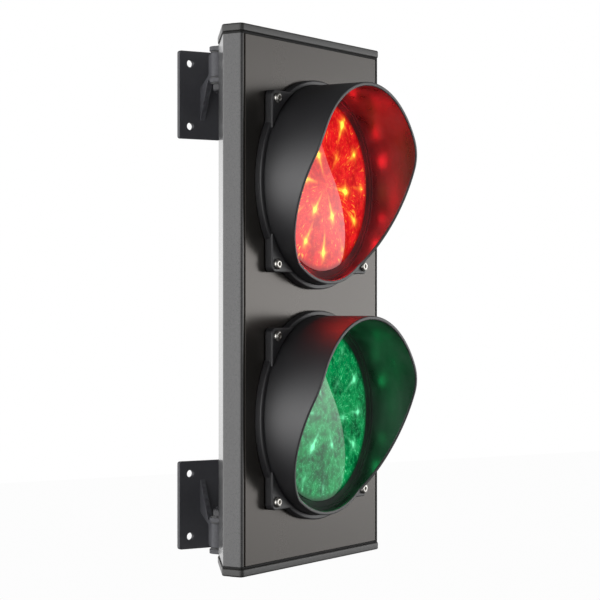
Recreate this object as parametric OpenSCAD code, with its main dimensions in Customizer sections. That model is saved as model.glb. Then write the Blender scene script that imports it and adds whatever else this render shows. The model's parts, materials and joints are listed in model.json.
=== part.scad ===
// Two-lamp traffic signal head that swivels on a pair of wall brackets.
// The wall is the plane y = 0 and the head stands out from it along -Y, with +Z up and +X to the right as
// seen from the front. The origin is on the wall, midway between the wall plates.

/* [Housing] */
// Width of the housing profile
housing_w = 193; // [185:1:200]
// Height over both end caps
overall_h = 401; // [390:1:420]
// Depth from the front panel to the back face
housing_d = 59.5; // [58:0.5:70]
// Depth of each short side, before the slanted face begins
side_d = 16.5; // [14:0.5:20]
// How far each slanted face comes in
slant_in = 55; // [50:1:56]
// Thickness of the profile wall
wall = 2; // [1.8:0.1:2.5]

/* [Caps] */
// Thickness of each end cap
cap_t = 6; // [5:0.5:8]
// Thickness of each cap gasket
gasket_t = 1.5; // [1:0.5:2]
// How far a cap stands out past the profile
cap_over = 0.8; // [0.5:0.1:1]

/* [Lamps] */
// Distance between the lamp centres
lamp_pitch = 175; // [170:1:180]
// Radius of the bezel rim
bezel_r = 79.5; // [79:0.5:81]
// Width of the square that makes the screw lugs
lug_w = 134; // [132:1:136]
// Distance of each bezel screw from the lamp's upright and level centre lines
screw_off = 61; // [60:0.5:61]
// Radius of the lens that shows
lens_r = 65.3; // [64:0.1:65.3]

/* [Visors] */
// Outer radius of the visor
visor_r = 75.6; // [75:0.1:75.6]
// Thickness of the visor wall
visor_wall = 3; // [2.5:0.1:3]
// Reach of the visor in front of the panel, at its top
visor_reach = 52; // [48:1:60]
// Reach of the visor in front of the panel, at its bottom
visor_low_reach = 15; // [13:1:17]

/* [Brackets] */
// Distance from the wall to the swivel axis
pivot_out = 31.5; // [31:0.5:36]
// Distance from the swivel axis to the back of the housing
pivot_to_rear = 28.5; // [28:0.5:32]
// How far the swivel axis stands to the left of the middle of the wall plates
pivot_left = 5; // [4:1:6]
// How far the head is turned on its brackets
head_turn = 25; // [-40:1:40]
// Height of the wall plate centres above and below the origin
plate_z = 163.5; // [160:0.5:165]
// Width of each wall plate
plate_w = 52; // [50:1:60]
// Height of each wall plate
plate_h = 70; // [70:1:80]
// Thickness of each wall plate
plate_t = 4; // [3:0.5:5]
// Distance between wall holes, across a plate
wall_hole_dx = 32; // [31:1:34]
// Distance between wall holes, up a plate
wall_hole_dz = 50; // [46:1:54]
// Radius of the wall holes
wall_hole_r = 3; // [2.5:0.5:3]

/* [Hidden] */
LAMP_NODES = ["bezel", "visor", "lens_gasket", "lens", "prism_disc", "reflector", "lamp_bowl", "led_board",
    "leds", "lamp_plug", "lamp_lead", "bezel_screws"];
BRACKET_NODES = ["wall_bracket", "head_bracket", "bracket_screws", "bracket_nuts", "pivot_bolt",
    "pivot_washers", "pivot_nut"];

// Sides of every circle in the preview
$fn = 64;
// Overshoot of cutting shapes past the faces that they cut
eps = 0.5;
// Gap left between pieces that only touch
seat = 0.05;

half_w = housing_w / 2;
profile_h = overall_h - 2 * (cap_t + gasket_t);
rear_half_w = half_w - slant_in;
rear_in = housing_d - wall;

// Front edge of the profile: lip, groove for the panel's tongue, and the rib behind it
corner_r = 2.5;
lip_w = 2.2;
groove_w = 2.6;
lip_t = 1.5;
slot_wall = 1.1;
slot_t = 1.9;
rib_w = 9;
rib_t = 1.6;
rib_y = lip_t + slot_t;

// Screw ports inside the profile: front pair and rear pair, and the cap screws in them
port_r = 4;
port_bore_r = 2.05;
port_xy = [[half_w - 5.5, rib_y + rib_t + 3.4], [rear_half_w - 4, rear_in - 3.4]];
cap_screw_r = 2;
cap_screw_len = 16;
cap_head_r = 3.8;

// Stack of one lamp, as depths from the panel's face; negative is forward
panel_t = lip_t + slot_t - 0.2;
bezel_t = 5.5;
lug_t = 7;
visor_flange_r = 78;
visor_flange_t = 2.7;
shoulder_y = -8;
shoulder_t = 2;
lens_gasket_t = 1.5;
lens_flange_r = 70;
lens_flange_t = 2.4;
lens_crown = 3.4;
lens_t = 2.2;
bowl_r = 70.5;
bowl_wall = 2;
bowl_depth = 24;
lug_plate_t = 5;
ledge_y = 4;
board_r = 50;
pcb_t = 1.6;
led_r = 2.5;
led_h = 4;
bowl_front = shoulder_y + shoulder_t + lens_gasket_t + lens_flange_t + 0.1;
lens_back = bowl_front - 0.1;

// Visor's side outline: full reach down to a round corner, then a straight slant to the bottom
slant_top_z = 26;
slant_low_z = -62;
slant_corner_r = 60;

// Driver board on the back wall, terminals at its lower end
driver_w = 62;
driver_h = 96;
driver_z = 6;
spacer_h = 8;
driver_y = rear_in - spacer_h - pcb_t;
board_hole_dx = 52;
board_hole_dz = 86;
terminal_ways = 5;
terminal_pitch = 8;
terminal_z = driver_z - driver_h / 2 + 16;

// Cable gland through the back wall
gland_z = -92;
gland_thread_r = 8;
gland_bore_r = 4.5;
gland_hex_r = 12.5;
gland_flange_h = 6;
gland_nut_h = 13;
lock_nut_t = 4;

// Earth stud through the back wall
earth_x = 24;
earth_z = -62;
earth_r = 2.5;
earth_nut_r = 4.6;
earth_nut_t = 4;
earth_lug_r = 5.5;
earth_lug_t = 1.2;
earth_crimp_r = 1.8;
earth_crimp_len = 6;

// Brackets: the same at both ends, described for the upper one
arm_t = 4.5;
arm_root_z = [141, 169];
arm_bend_x = 17.5;
arm_bend_z = 178.5;
barrel_r = 7;
barrel_bore_r = 3.05;
bolt_r = 3;
barrel_z = [175.6, 194.8];
washer_t = 1;
washer_gap = 0.1;
ear_t = 3.5;
ear_r = 8;
outer_ear_z = barrel_z[1] + washer_gap + washer_t;
inner_ear_z = barrel_z[0] - washer_gap - washer_t - ear_t;
clevis_w = 54;
clevis_low_z = 150;
clevis_t = 3;
clevis_hole_dx = 38;
clevis_hole_z = [158, 188];
clevis_hole_r = 2.75;
clevis_screw_r = 2.5;
clevis_nut_r = 4.6;
clevis_nut_t = 4.5;
bolt_head_r = 5.8;
pivot_nut_h = 6;

// ---- Shapes and helpers ----

function unit(v) = v / norm(v);

// A closed outline with each corner replaced by an arc of the given radius
function rounded(pts, r, steps = 5) = [
    for (i = [0 : len(pts) - 1])
        let (p = pts[i],
             a = unit(pts[(i + len(pts) - 1) % len(pts)] - p),
             b = unit(pts[(i + 1) % len(pts)] - p),
             half = acos(a * b) / 2,
             centre = p + unit(a + b) * r / sin(half),
             from = atan2((p + a * r / tan(half) - centre)[1], (p + a * r / tan(half) - centre)[0]),
             to = atan2((p + b * r / tan(half) - centre)[1], (p + b * r / tan(half) - centre)[0]),
             turn = (to - from + 540) % 360 - 180)
        for (k = [0 : steps]) centre + r * [cos(from + turn * k / steps), sin(from + turn * k / steps)]];

// The housing's outline seen from above, grown outwards on its front, sides and slanted faces
function housing_outline(grow = 0, rear = 0) =
    let (slant_angle = atan2(housing_d - side_d, slant_in),
         side_x = half_w + grow,
         side_y = side_d + grow * tan((90 - slant_angle) / 2),
         rear_x = rear_half_w + (grow - rear * cos(slant_angle)) / sin(slant_angle),
         rear_y = housing_d + rear)
    [[-side_x, -grow], [side_x, -grow], [side_x, side_y], [rear_x, rear_y], [-rear_x, rear_y],
     [-side_x, side_y]];

// The head's own frame: origin in the middle of the panel's face, +Y to the back
module on_head() {
    translate([-pivot_left, -pivot_out, 0])
        rotate([0, 0, head_turn])
            translate([0, -pivot_to_rear - housing_d, 0])
                children();
}

// A lamp's frame: the head's frame at the lamp's centre; side is 1 for red and -1 for green
module on_lamp(side) {
    on_head() translate([0, 0, side * lamp_pitch / 2]) children();
}

// A cylinder along +Y from y0 to y1
module rod(r, y0, y1) {
    translate([0, y1, 0]) rotate([90, 0, 0]) cylinder(r = r, h = y1 - y0);
}

// A ring along +Y
module ring(r_out, r_in, y0, y1) {
    difference() {
        rod(r_out, y0, y1);
        rod(r_in, y0 - eps, y1 + eps);
    }
}

// A hexagonal prism along +Y, with its corners at radius r
module hex_rod(r, y0, y1) {
    translate([0, y1, 0]) rotate([90, 0, 0]) cylinder(r = r, h = y1 - y0, $fn = 6);
}

// Children at the four corners of a rectangle in the XZ plane
module at_corners(x, z) {
    for (sx = [-1, 1], sz = [-1, 1]) translate([sx * x, 0, sz * z]) children();
}

// Children at the four screw ports, in the head's plan
module at_ports() {
    for (p = port_xy, sx = [-1, 1]) translate([sx * p[0], p[1], 0]) children();
}

// The mirror image at the other end of the head, for side = -1
module at_end(side) {
    if (side > 0) children();
    else mirror([0, 0, 1]) children();
}

// A cross of two slots, cut into a screw head
module cross_recess(width, reach, y0, y1) {
    for (turn = [0, 90])
        rotate([0, turn, 0])
            translate([-reach, y0, -width / 2])
                cube([2 * reach, y1 - y0, width]);
}

// ---- Housing ----

module housing_section() {
    difference() {
        polygon(rounded(housing_outline(), corner_r));
        intersection() {
            polygon(rounded(housing_outline(grow = -wall, rear = -wall), 1.5));
            translate([-half_w, rib_y + rib_t]) square([housing_w, housing_d]);
        }
        translate([-half_w + lip_w, -eps]) square([housing_w - 2 * lip_w, lip_t + 2 * eps]);
        translate([-half_w + slot_wall, lip_t]) square([housing_w - 2 * slot_wall, slot_t]);
        translate([-half_w + rib_w, rib_y - eps]) square([housing_w - 2 * rib_w, rib_t + 2 * eps]);
    }
}

module housing_profile() {
    color("dimgray")
        on_head()
            difference() {
                translate([0, 0, -profile_h / 2]) {
                    linear_extrude(profile_h) housing_section();
                    at_ports() cylinder(r = port_r, h = profile_h);
                }
                translate([0, 0, -profile_h / 2 - eps])
                    at_ports() cylinder(r = port_bore_r, h = profile_h + 2 * eps);
                translate([0, 0, gland_z]) rod(gland_thread_r + 0.1, rear_in - eps, housing_d + eps);
                translate([earth_x, 0, earth_z]) rod(earth_r + 0.1, rear_in - eps, housing_d + eps);
                for (side = [1, -1])
                    at_end(side) at_clevis_holes() rod(clevis_hole_r, rear_in - eps, housing_d + eps);
            }
}

module front_panel() {
    tongue_w = housing_w - 2 * slot_wall - 0.6;
    face_w = housing_w - 2 * (lip_w + groove_w);
    color("gray")
        on_head()
            difference() {
                union() {
                    translate([-face_w / 2, 0, -profile_h / 2]) cube([face_w, panel_t, profile_h]);
                    translate([-tongue_w / 2, lip_t + 0.1, -profile_h / 2])
                        cube([tongue_w, panel_t - lip_t - 0.1, profile_h]);
                }
                for (side = [1, -1])
                    translate([0, 0, side * lamp_pitch / 2]) {
                        rod(bowl_r + 0.5, -eps, panel_t + eps);
                        at_corners(screw_off, screw_off) rod(2.2, -eps, panel_t + eps);
                    }
            }
}

// ---- End caps, described for the top ----

module cap() {
    edge = 1;
    color("dimgray")
        on_head()
            difference() {
                translate([0, 0, profile_h / 2 + gasket_t]) {
                    linear_extrude(cap_t - edge)
                        polygon(rounded(housing_outline(grow = cap_over, rear = -0.3), corner_r + cap_over));
                    translate([0, 0, cap_t - edge])
                        linear_extrude(edge)
                            polygon(rounded(housing_outline(grow = cap_over - edge, rear = -edge), corner_r));
                }
                at_ports() {
                    cylinder(r = cap_screw_r + 0.2, h = overall_h);
                    translate([0, 0, overall_h / 2 - cap_head_r - seat])
                        cylinder(r1 = 0, r2 = cap_head_r + 1, h = cap_head_r + 1);
                }
            }
}

module cap_gasket() {
    inset = 1;
    band = 3;
    color("black")
        on_head()
            translate([0, 0, profile_h / 2])
                difference() {
                    union() {
                        difference() {
                            linear_extrude(gasket_t)
                                polygon(rounded(housing_outline(grow = -inset, rear = -inset), corner_r));
                            translate([0, 0, -eps])
                                linear_extrude(gasket_t + 2 * eps)
                                    polygon(rounded(housing_outline(grow = -inset - band, rear = -inset - band), 2));
                        }
                        at_ports() cylinder(r = port_r, h = gasket_t);
                    }
                    translate([0, 0, -eps]) at_ports() cylinder(r = cap_screw_r + 0.2, h = gasket_t + 2 * eps);
                }
}

module cap_screws() {
    color("silver")
        on_head()
            at_ports()
                difference() {
                    union() {
                        translate([0, 0, overall_h / 2 - cap_screw_len])
                            cylinder(r = cap_screw_r, h = cap_screw_len - cap_head_r + cap_screw_r + 0.2);
                        translate([0, 0, overall_h / 2 - cap_head_r + cap_screw_r])
                            cylinder(r1 = cap_screw_r, r2 = cap_head_r, h = cap_head_r - cap_screw_r);
                    }
                    for (turn = [0, 90])
                        rotate([0, 0, turn]) translate([-2, -0.5, overall_h / 2 - 1.4]) cube([4, 1, 2]);
                }
}

// ---- One lamp, in its own frame ----

module lug_square(y0, y1) {
    translate([0, y1, 0])
        rotate([90, 0, 0])
            linear_extrude(y1 - y0)
                polygon(rounded([for (p = [[-1, -1], [1, -1], [1, 1], [-1, 1]]) p * lug_w / 2], 4));
}

module bezel() {
    difference() {
        union() {
            rod(bezel_r, -bezel_t, 0);
            difference() {
                lug_square(-lug_t, 0);
                rod(bezel_r - 3, -lug_t - eps, -bezel_t);
            }
        }
        rod(visor_r + 0.3, -lug_t - eps, eps);
        rod(visor_flange_r + 0.2, -visor_flange_t - 0.1, eps);
        at_corners(screw_off, screw_off) rod(2.2, -lug_t - eps, eps);
    }
}

// The side outline that the visor keeps: x is the reach in front of the panel and y is the height
function visor_side() =
    let (top = visor_r + 10,
         slope = (visor_reach - visor_low_reach) / (slant_top_z - slant_low_z),
         lean = atan(slope),
         corner = [visor_reach, slant_top_z],
         run = slant_corner_r * tan(lean / 2),
         centre = [visor_reach - slant_corner_r, slant_top_z + run])
    concat(
        [[-1, -top], [visor_low_reach, -top], [visor_low_reach, slant_low_z]],
        [for (k = [0 : 6]) centre + slant_corner_r * [cos(lean * (k / 6 - 1)), sin(lean * (k / 6 - 1))]],
        [[visor_reach, top], [-1, top]]);

module visor() {
    bore_r = visor_r - visor_wall;
    difference() {
        intersection() {
            union() {
                rod(visor_r, -visor_reach - eps, 0);
                rod(visor_flange_r, -visor_flange_t, 0);
            }
            rotate([90, 0, 90])
                translate([0, 0, -bezel_r])
                    linear_extrude(2 * bezel_r)
                        mirror([1, 0, 0]) polygon(visor_side());
        }
        rod(bore_r, -visor_reach - 2 * eps, shoulder_y);
        rod(bore_r - 2.2, shoulder_y - eps, shoulder_y + 0.8);
        rod(lens_r + 0.3, shoulder_y, shoulder_y + shoulder_t + eps);
        rod(lens_flange_r + 0.6, shoulder_y + shoulder_t, eps);
    }
}

module lens_gasket() {
    ring(lens_flange_r, lens_r + 0.5, shoulder_y + shoulder_t, shoulder_y + shoulder_t + lens_gasket_t);
}

// Half of a shallow dome's outline, from its top on the axis to its rim, as [radius, height]
function dome(r, rise, rim_height, steps = 12) =
    let (dome_r = (r * r + rise * rise) / (2 * rise), span = asin(r / dome_r))
    [for (k = [0 : steps])
        dome_r * [sin(span * k / steps), cos(span * k / steps)] + [0, rim_height - dome_r * cos(span)]];

module lens() {
    flange_h = -shoulder_y - shoulder_t - lens_gasket_t;
    rim_h = -shoulder_y - 0.5;
    outside = dome(lens_r, lens_crown, rim_h);
    inside = dome(lens_r - lens_t, lens_crown, rim_h - lens_t);
    rotate([90, 0, 0])
        rotate_extrude()
            polygon(concat(
                outside,
                [[lens_r, flange_h], [lens_flange_r, flange_h], [lens_flange_r, -lens_back],
                 [lens_r - lens_t, -lens_back]],
                [for (k = [len(inside) - 1 : -1 : 0]) inside[k]]));
}

module prism_disc() {
    difference() {
        rod(bowl_r - bowl_wall - 0.5, ledge_y - 3, ledge_y);
        for (k = [0 : 23])
            rotate([0, k * 15, 0])
                translate([14, ledge_y - 0.8, -0.75])
                    cube([48, 1, 1.5]);
    }
}

module reflector() {
    flange_r = bowl_r - bowl_wall - 2.6;
    mouth_r = flange_r - 2.5;
    cone_h = 13;
    translate([0, ledge_y + seat, 0])
        rotate([-90, 0, 0])
            rotate_extrude()
                polygon([[mouth_r, 0], [flange_r, 0], [flange_r, 1.2], [mouth_r + 1.4, 1.2],
                    [board_r + 1.4, cone_h], [board_r, cone_h]]);
}

module lamp_bowl() {
    difference() {
        union() {
            rod(bowl_r, bowl_front, bowl_depth);
            lug_square(panel_t + 0.1, panel_t + lug_plate_t);
        }
        rod(bowl_r - bowl_wall, bowl_front - eps, ledge_y);
        rod(bowl_r - bowl_wall - 2.5, bowl_front, bowl_depth - bowl_wall);
        at_corners(screw_off, screw_off) rod(2.05, panel_t - eps, panel_t + lug_plate_t + eps);
        rod(5, bowl_depth - bowl_wall - eps, bowl_depth + eps);
    }
}

module led_board() {
    rod(board_r, bowl_depth - bowl_wall - pcb_t, bowl_depth - bowl_wall);
}

module leds() {
    board_face = bowl_depth - bowl_wall - pcb_t;
    for (row = [0 : 4], k = [0 : max(1, row * 6) - 1])
        rotate([0, k * 60 / max(1, row) + row * 7, 0])
            translate([row * 10.5, 0, 0]) {
                rod(led_r, board_face - led_h, board_face);
                translate([0, board_face - led_h, 0])
                    intersection() {
                        sphere(r = led_r);
                        rod(led_r, -led_r, 0);
                    }
            }
}

module lamp_plug() {
    rod(4.8, bowl_depth - bowl_wall, bowl_depth + 3);
    translate([-7, bowl_depth + 3, -5]) cube([14, 7, 10]);
}

module bezel_screws() {
    at_corners(screw_off, screw_off)
        difference() {
            union() {
                rod(2, -lug_t, panel_t + lug_plate_t + 2);
                intersection() {
                    rod(4, -lug_t - 2.6, -lug_t);
                    translate([0, -lug_t + 2.4, 0]) sphere(r = 5);
                }
            }
            cross_recess(1, 2, -lug_t - 3, -lug_t - 1.2);
        }
}

// ---- Leads: round tubes swept along a curve with straight ends ----

function bezier(p, t) = pow(1 - t, 3) * p[0] + 3 * t * pow(1 - t, 2) * p[1]
    + 3 * t * t * (1 - t) * p[2] + pow(t, 3) * p[3];

function bezier_way(p, t) = unit(pow(1 - t, 2) * (p[1] - p[0]) + 2 * t * (1 - t) * (p[2] - p[1])
    + t * t * (p[3] - p[2]));

// A tube along a curve that stays near the plane through its ends and the X axis
module lead(p, r, rings = 18, sides = 8) {
    points = [for (i = [0 : rings])
        let (way = bezier_way(p, i / rings), side = unit(cross(way, [1, 0.01, 0])), up = cross(side, way))
        for (k = [0 : sides - 1])
            bezier(p, i / rings) + r * (cos(360 * k / sides) * side + sin(360 * k / sides) * up)];
    skin = [for (i = [0 : rings - 1], k = [0 : sides - 1])
        let (a = i * sides + k, b = i * sides + (k + 1) % sides)
        [a, b, b + sides, a + sides]];
    ends = [[for (k = [0 : sides - 1]) sides - 1 - k], [for (k = [0 : sides - 1]) rings * sides + k]];
    polyhedron(points, concat(skin, ends), convexity = 4);
}

module lamp_lead(side) {
    start = [0, bowl_depth + 10, side * lamp_pitch / 2];
    stop = [-16, driver_y, driver_z + side * (driver_h / 2 - 6)];
    lead([start, start + [0, 14, 0], stop - [0, 16, 0], stop], 1.6);
}

module earth_lead() {
    lug_y = rear_in - earth_nut_t - seat;
    start = [earth_x - earth_lug_r - earth_crimp_len - seat, lug_y - earth_lug_t / 2, earth_z];
    stop = [terminal_pitch * 2, driver_y - 3, terminal_z - 3];
    color("yellowgreen") on_head() lead([start, start - [8, 0, 0], stop - [0, 0, 20], stop], 1.1);
}

// ---- Driver ----

module driver_board() {
    color("darkgreen")
        on_head()
            translate([0, 0, driver_z])
                difference() {
                    translate([-driver_w / 2, driver_y, -driver_h / 2]) cube([driver_w, pcb_t, driver_h]);
                    at_corners(board_hole_dx / 2, board_hole_dz / 2) rod(1.6, driver_y - eps, rear_in);
                }
}

module driver_components() {
    front = driver_y;
    color("darkslategray")
        on_head() {
            translate([-20, front - 17, driver_z - 4]) cube([26, 17, 30]);
            for (z = [0, 16]) translate([19, 0, driver_z + z]) rod(5.5, front - 16, front);
            for (x = [-16, 2]) translate([x, front - 11, driver_z - 22]) cube([12, 11, 14]);
            translate([20, front - 4, driver_z - 22]) cube([6, 4, 14]);
        }
}

module board_spacers() {
    color("lightgray")
        on_head()
            translate([0, 0, driver_z])
                at_corners(board_hole_dx / 2, board_hole_dz / 2)
                    ring(3, 1.55, rear_in - spacer_h, rear_in);
}

module board_screws() {
    color("silver")
        on_head()
            translate([0, 0, driver_z])
                at_corners(board_hole_dx / 2, board_hole_dz / 2)
                    difference() {
                        union() {
                            rod(1.5, driver_y - 1, rear_in - 1);
                            rod(2.8, driver_y - 2, driver_y);
                        }
                        cross_recess(0.7, 1.5, driver_y - 3, driver_y - 1);
                    }
}

module at_terminals() {
    for (k = [0 : terminal_ways - 1])
        translate([(k - (terminal_ways - 1) / 2) * terminal_pitch, 0, terminal_z]) children();
}

module terminal_block() {
    block_w = terminal_ways * terminal_pitch;
    color("forestgreen")
        on_head()
            difference() {
                translate([-block_w / 2, driver_y - 12, terminal_z - 5.5]) cube([block_w, 12, 11]);
                at_terminals() {
                    rod(2.3, driver_y - 13, driver_y - 6);
                    translate([-2.5, driver_y - 5, -6]) cube([5, 4, 6]);
                }
            }
}

module terminal_screws() {
    color("silver")
        on_head()
            at_terminals()
                difference() {
                    rod(2.2, driver_y - 10.5, driver_y - 6);
                    translate([-3, driver_y - 11, -0.4]) cube([6, 1.2, 0.8]);
                }
}

// A hexagonal nut along Y whose face towards +Y is at y1
module nut(r, bore, h, y1) {
    difference() {
        hex_rod(r, y1 - h, y1);
        rod(bore, y1 - h - eps, y1 + eps);
    }
}

// Screw from outside, and on it a nut, the lead's ring lug and a second nut
module earth_stud() {
    lug_y = rear_in - earth_nut_t - seat;
    color("goldenrod")
        on_head()
            translate([earth_x, 0, earth_z]) {
                rod(earth_r, rear_in - 12, housing_d);
                hex_rod(earth_nut_r, housing_d, housing_d + 3);
                nut(earth_nut_r, earth_r + seat, earth_nut_t, rear_in);
                ring(earth_lug_r, earth_r + seat, lug_y - earth_lug_t, lug_y);
                translate([0.5 - earth_lug_r, lug_y - earth_lug_t / 2, 0])
                    rotate([0, -90, 0])
                        cylinder(r = earth_crimp_r, h = earth_crimp_len + 0.5);
                nut(earth_nut_r, earth_r + seat, earth_nut_t, lug_y - earth_lug_t - seat);
            }
}

// ---- Cable gland ----

module gland_body() {
    color("black")
        on_head()
            translate([0, 0, gland_z])
                difference() {
                    union() {
                        rod(gland_thread_r, rear_in - lock_nut_t - 3, housing_d + gland_flange_h + 7);
                        hex_rod(gland_hex_r, housing_d, housing_d + gland_flange_h);
                    }
                    rod(gland_bore_r + 1, rear_in - lock_nut_t - 3 - eps, housing_d + 3);
                    rod(6, housing_d + 3 - eps, housing_d + gland_flange_h + 7 + eps);
                }
}

module gland_nut() {
    nut_y = housing_d + gland_flange_h + 0.3;
    color("black")
        on_head()
            translate([0, 0, gland_z])
                difference() {
                    union() {
                        hex_rod(gland_hex_r - 0.5, nut_y, nut_y + gland_nut_h - 4);
                        rod(9.2, nut_y, nut_y + gland_nut_h);
                    }
                    rod(gland_thread_r + seat, nut_y - eps, nut_y + 8);
                    rod(gland_bore_r + 0.5, nut_y, nut_y + gland_nut_h + eps);
                }
}

module gland_seal() {
    color("dimgray")
        on_head()
            translate([0, 0, gland_z])
                ring(5.95, gland_bore_r, housing_d + 3.2, housing_d + gland_flange_h + 7);
}

module gland_lock_nut() {
    color("black")
        on_head()
            translate([0, 0, gland_z])
                nut(gland_hex_r - 1, gland_thread_r + seat, lock_nut_t, rear_in);
}

// ---- Brackets, described for the upper one ----

// The four screw places of the clevis, in the head's frame
module at_clevis_holes() {
    for (z = clevis_hole_z, sx = [-1, 1]) translate([sx * clevis_hole_dx / 2, 0, z]) children();
}

// The swivel axis, from the wall's frame or from the head's
module on_pivot() {
    translate([-pivot_left, -pivot_out, 0]) children();
}

// The arm's side outline: from the plate it rises to a neck, clear of the ears' swing, and runs to the barrel
function arm_side() =
    let (root_x = plate_t - 1,
         neck_x = pivot_out - ear_r - 1.5,
         tip_x = pivot_out - barrel_r + 1)
    [[root_x, arm_root_z[0]], [root_x, arm_root_z[1]], [arm_bend_x, arm_bend_z],
     [arm_bend_x, barrel_z[1]], [tip_x, barrel_z[1]], [tip_x, barrel_z[0]], [neck_x, barrel_z[0]],
     [arm_bend_x - 1, barrel_z[0] - 1.6]];

module wall_bracket() {
    color("midnightblue")
        difference() {
            union() {
                translate([0, 0, plate_z])
                    rotate([90, 0, 0])
                        linear_extrude(plate_t)
                            polygon(rounded([for (p = [[-1, -1], [1, -1], [1, 1], [-1, 1]])
                                [p[0] * plate_w, p[1] * plate_h] / 2], 2));
                translate([-pivot_left, 0, 0])
                    rotate([90, 0, -90])
                        translate([0, 0, -arm_t / 2])
                            linear_extrude(arm_t) polygon(arm_side());
                on_pivot()
                    translate([0, 0, barrel_z[0]])
                        cylinder(r = barrel_r, h = barrel_z[1] - barrel_z[0]);
            }
            on_pivot() cylinder(r = barrel_bore_r, h = overall_h);
            translate([0, 0, plate_z])
                at_corners(wall_hole_dx / 2, wall_hole_dz / 2) rod(wall_hole_r, -plate_t - eps, eps);
        }
}

module ear(z) {
    pivot_y = housing_d + pivot_to_rear;
    translate([0, 0, z]) {
        translate([-ear_r, housing_d, 0]) cube([2 * ear_r, pivot_to_rear, ear_t]);
        translate([0, pivot_y, 0]) cylinder(r = ear_r, h = ear_t);
    }
}

module head_bracket() {
    pivot_y = housing_d + pivot_to_rear;
    top_z = outer_ear_z + ear_t;
    color("midnightblue")
        on_head()
            difference() {
                union() {
                    translate([-clevis_w / 2, housing_d, clevis_low_z])
                        cube([clevis_w, clevis_t, top_z - clevis_low_z]);
                    ear(outer_ear_z);
                    ear(inner_ear_z);
                }
                at_clevis_holes() rod(clevis_hole_r, housing_d - eps, housing_d + clevis_t + eps);
                translate([0, pivot_y, 0]) cylinder(r = bolt_r + 0.1, h = overall_h);
                translate([0, pivot_y, top_z - bolt_head_r - seat])
                    cylinder(r1 = 0, r2 = bolt_head_r + 1, h = bolt_head_r + 1);
            }
}

module bracket_screws() {
    color("silver")
        on_head()
            at_clevis_holes() {
                rod(clevis_screw_r, rear_in - clevis_nut_t - 2, housing_d + clevis_t);
                hex_rod(clevis_nut_r, housing_d + clevis_t, housing_d + clevis_t + 3.5);
            }
}

module bracket_nuts() {
    color("silver")
        on_head()
            at_clevis_holes() nut(clevis_nut_r, clevis_screw_r + seat, clevis_nut_t, rear_in);
}

module pivot_bolt() {
    top_z = outer_ear_z + ear_t;
    low_z = inner_ear_z - pivot_nut_h - washer_t - 1.5;
    color("silver")
        on_pivot()
            difference() {
                union() {
                    translate([0, 0, low_z]) cylinder(r = bolt_r, h = top_z - 1 - low_z);
                    translate([0, 0, top_z - bolt_head_r + bolt_r])
                        cylinder(r1 = bolt_r, r2 = bolt_head_r, h = bolt_head_r - bolt_r);
                }
                translate([0, 0, top_z - 2]) cylinder(r = 2.3, h = 3, $fn = 6);
            }
}

module washer(z) {
    translate([0, 0, z])
        difference() {
            cylinder(r = barrel_r, h = washer_t);
            translate([0, 0, -eps]) cylinder(r = bolt_r + 0.1, h = washer_t + 2 * eps);
        }
}

module pivot_washers() {
    color("whitesmoke")
        on_pivot() {
            washer(barrel_z[1] + washer_gap);
            washer(barrel_z[0] - washer_gap - washer_t);
            washer(inner_ear_z - washer_t);
        }
}

module pivot_nut() {
    nut_z = inner_ear_z - washer_t - pivot_nut_h;
    color("silver")
        on_pivot()
            translate([0, 0, nut_z])
                difference() {
                    cylinder(r = 5.7, h = pivot_nut_h, $fn = 6);
                    translate([0, 0, -eps]) cylinder(r = bolt_r + seat, h = pivot_nut_h + 2 * eps);
                }
}

// ---- Assembly ----

housing_profile();
front_panel();
at_end(1) cap();  // top_cap
at_end(-1) cap();  // bottom_cap
at_end(1) cap_gasket();  // top_gasket
at_end(-1) cap_gasket();  // bottom_gasket
at_end(1) cap_screws();  // top_cap_screws
at_end(-1) cap_screws();  // bottom_cap_screws
driver_board();
driver_components();
board_spacers();
board_screws();
terminal_block();
terminal_screws();
earth_stud();
earth_lead();
gland_body();
gland_nut();
gland_seal();
gland_lock_nut();
for (lamp = [["red", 1], ["green", -1]]) {
    name = lamp[0];
    side = lamp[1];
    color("black") on_lamp(side) bezel();
    color("black") on_lamp(side) visor();
    color("dimgray") on_lamp(side) lens_gasket();
    color(name) on_lamp(side) lens();
    color(name) on_lamp(side) prism_disc();
    color("silver") on_lamp(side) reflector();
    color("black") on_lamp(side) lamp_bowl();
    color("white") on_lamp(side) led_board();
    color(name) on_lamp(side) leds();
    color("white") on_lamp(side) lamp_plug();
    color(name) on_head() lamp_lead(side);
    color("silver") on_lamp(side) bezel_screws();
}
for (end = [["upper", 1], ["lower", -1]]) {
    name = end[0];
    side = end[1];
    at_end(side) wall_bracket();
    at_end(side) head_bracket();
    at_end(side) bracket_screws();
    at_end(side) bracket_nuts();
    at_end(side) pivot_bolt();
    at_end(side) pivot_washers();
    at_end(side) pivot_nut();
}
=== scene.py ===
"""Looks of a two-lamp traffic signal head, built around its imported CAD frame."""

import json
import math

import bmesh
import bpy
from mathutils import Matrix, Vector


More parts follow.
